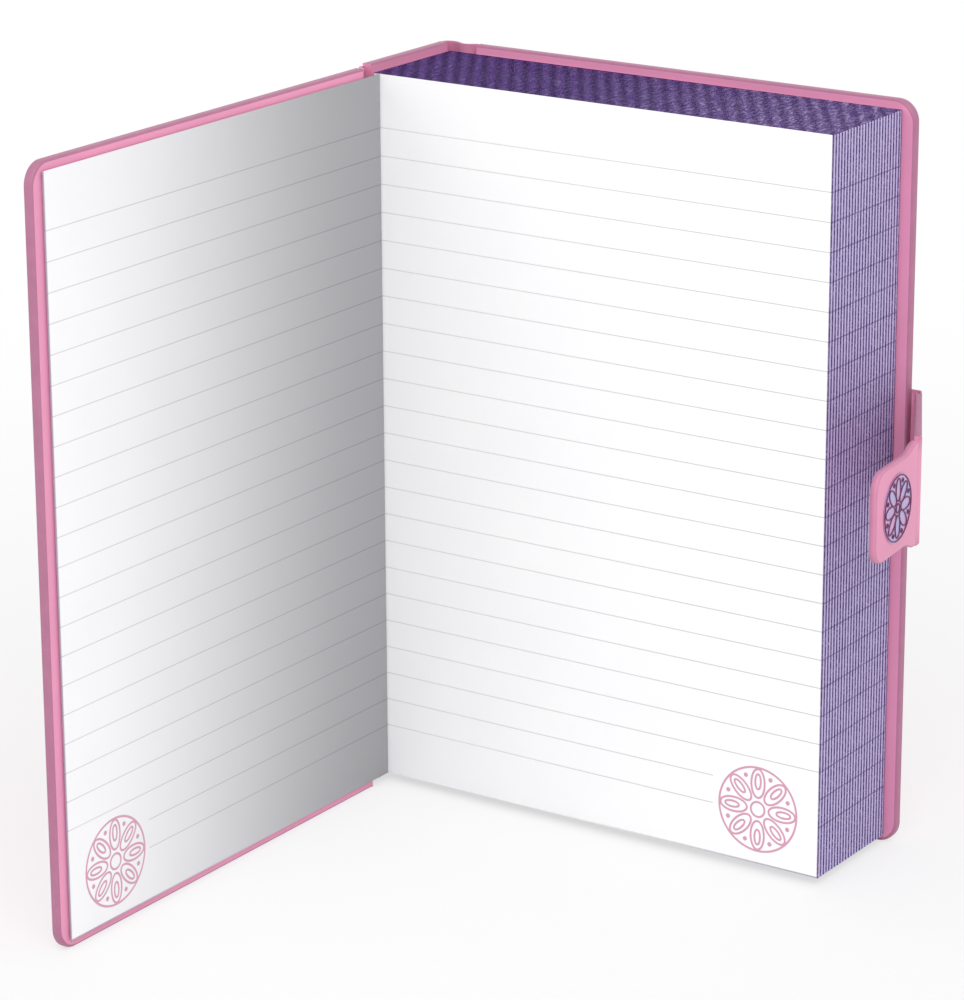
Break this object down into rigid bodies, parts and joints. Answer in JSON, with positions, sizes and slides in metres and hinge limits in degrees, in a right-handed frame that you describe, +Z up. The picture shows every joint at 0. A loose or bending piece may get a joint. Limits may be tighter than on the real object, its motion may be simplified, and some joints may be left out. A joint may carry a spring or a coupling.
{
  "type": "clasp notebook",
  "caption": "Thick hardback notebook with ruled pages, tinted page edges, an opening front cover and a magnetic wrap-over clasp flap on the back cover.",
  "frame": {"origin": "centre of the box around the part, at the level of the surface that it stands on", "axes": "+Z up along the spine, +Y from the front page to the back cover, +X from the spine to the fore-edge"},
  "size_m": [0.183, 0.1912, 0.215],
  "materials": {
    "page_edge": "white ruled paper whose trimmed edges are tinted glittery violet and lilac",
    "leaf": "smooth white ruled paper",
    "lining": "open-weave mull glued down with paper",
    "board": "dense grey bookbinder's board",
    "skin": "smooth pink coated bookbinding cover, satin",
    "joint": "the same pink cover material where it bends",
    "pastedown": "plain pale lilac endpaper",
    "stiffener": "thin stiff card",
    "flap_lining": "pink coated lining, matt",
    "keeper": "plain steel disc",
    "magnet": "nickel-plated magnet disc",
    "foil": "lilac iridescent foil",
    "rosette": "dark plum metallic foil openwork"
  },
  "bodies": {
    "block": {"section_01": "page_edge", "section_02": "page_edge", "section_03": "page_edge", "section_04": "page_edge", "section_05": "page_edge", "section_06": "page_edge", "section_07": "page_edge", "section_08": "page_edge", "section_09": "page_edge", "section_10": "page_edge", "section_11": "page_edge", "section_12": "page_edge", "section_13": "page_edge", "section_14": "page_edge", "section_15": "page_edge", "section_16": "page_edge", "section_17": "page_edge", "section_18": "page_edge", "section_19": "page_edge", "section_20": "page_edge", "section_21": "page_edge", "section_22": "page_edge", "section_23": "page_edge", "section_24": "page_edge", "leaf_stub": "leaf", "spine_lining": "lining", "spine_board": "board", "spine_skin": "skin", "front_joint": "joint", "back_joint": "joint"},
    "turned_leaf": {"turned_leaf": "leaf"},
    "front_cover": {"front_board": "board", "front_skin": "skin", "front_pastedown": "pastedown", "front_keeper": "keeper"},
    "back_cover": {"back_board": "board", "back_skin": "skin", "back_pastedown": "pastedown", "clasp_back_fold": "joint"},
    "gusset": {"gusset_skin": "skin", "gusset_stiffener": "stiffener", "gusset_lining": "flap_lining", "clasp_front_fold": "joint"},
    "tab": {"tab_skin": "skin", "tab_stiffener": "stiffener", "tab_lining": "flap_lining", "tab_magnet": "magnet", "clasp_foil": "foil", "clasp_rosette": "rosette"}
  },
  "joints": [
    {"name": "front_cover_swing", "type": "hinge", "parent": "block", "child": "front_cover", "pos_m": [-0.08529, 0.05343, 0.1075], "axis": [0, 0, 1], "range_deg": [-90, 90], "deforming": ["front_joint"]},
    {"name": "turned_leaf_turn", "type": "hinge", "parent": "block", "child": "turned_leaf", "pos_m": [-0.08529, 0.05343, 0.1075], "axis": [0, 0, 1], "range_deg": [-90, 90]},
    {"name": "back_cover_swing", "type": "hinge", "parent": "block", "child": "back_cover", "pos_m": [-0.08529, 0.09183, 0.1075], "axis": [0, 0, 1], "range_deg": [0, 180], "deforming": ["back_joint"]},
    {"name": "gusset_fold", "type": "hinge", "parent": "back_cover", "child": "gusset", "pos_m": [0.06561, 0.09383, 0.1195], "axis": [0, 0, 1], "range_deg": [-28, 152], "deforming": ["clasp_back_fold"]},
    {"name": "tab_fold", "type": "hinge", "parent": "gusset", "child": "tab", "pos_m": [0.08659, 0.05436, 0.1195], "axis": [0, 0, 1], "range_deg": [-68, 22], "deforming": ["clasp_front_fold"]}
  ],
  "couplings": [
    {"joint": "turned_leaf_turn", "follows": "front_cover_swing", "ratio": 1}
  ]
}
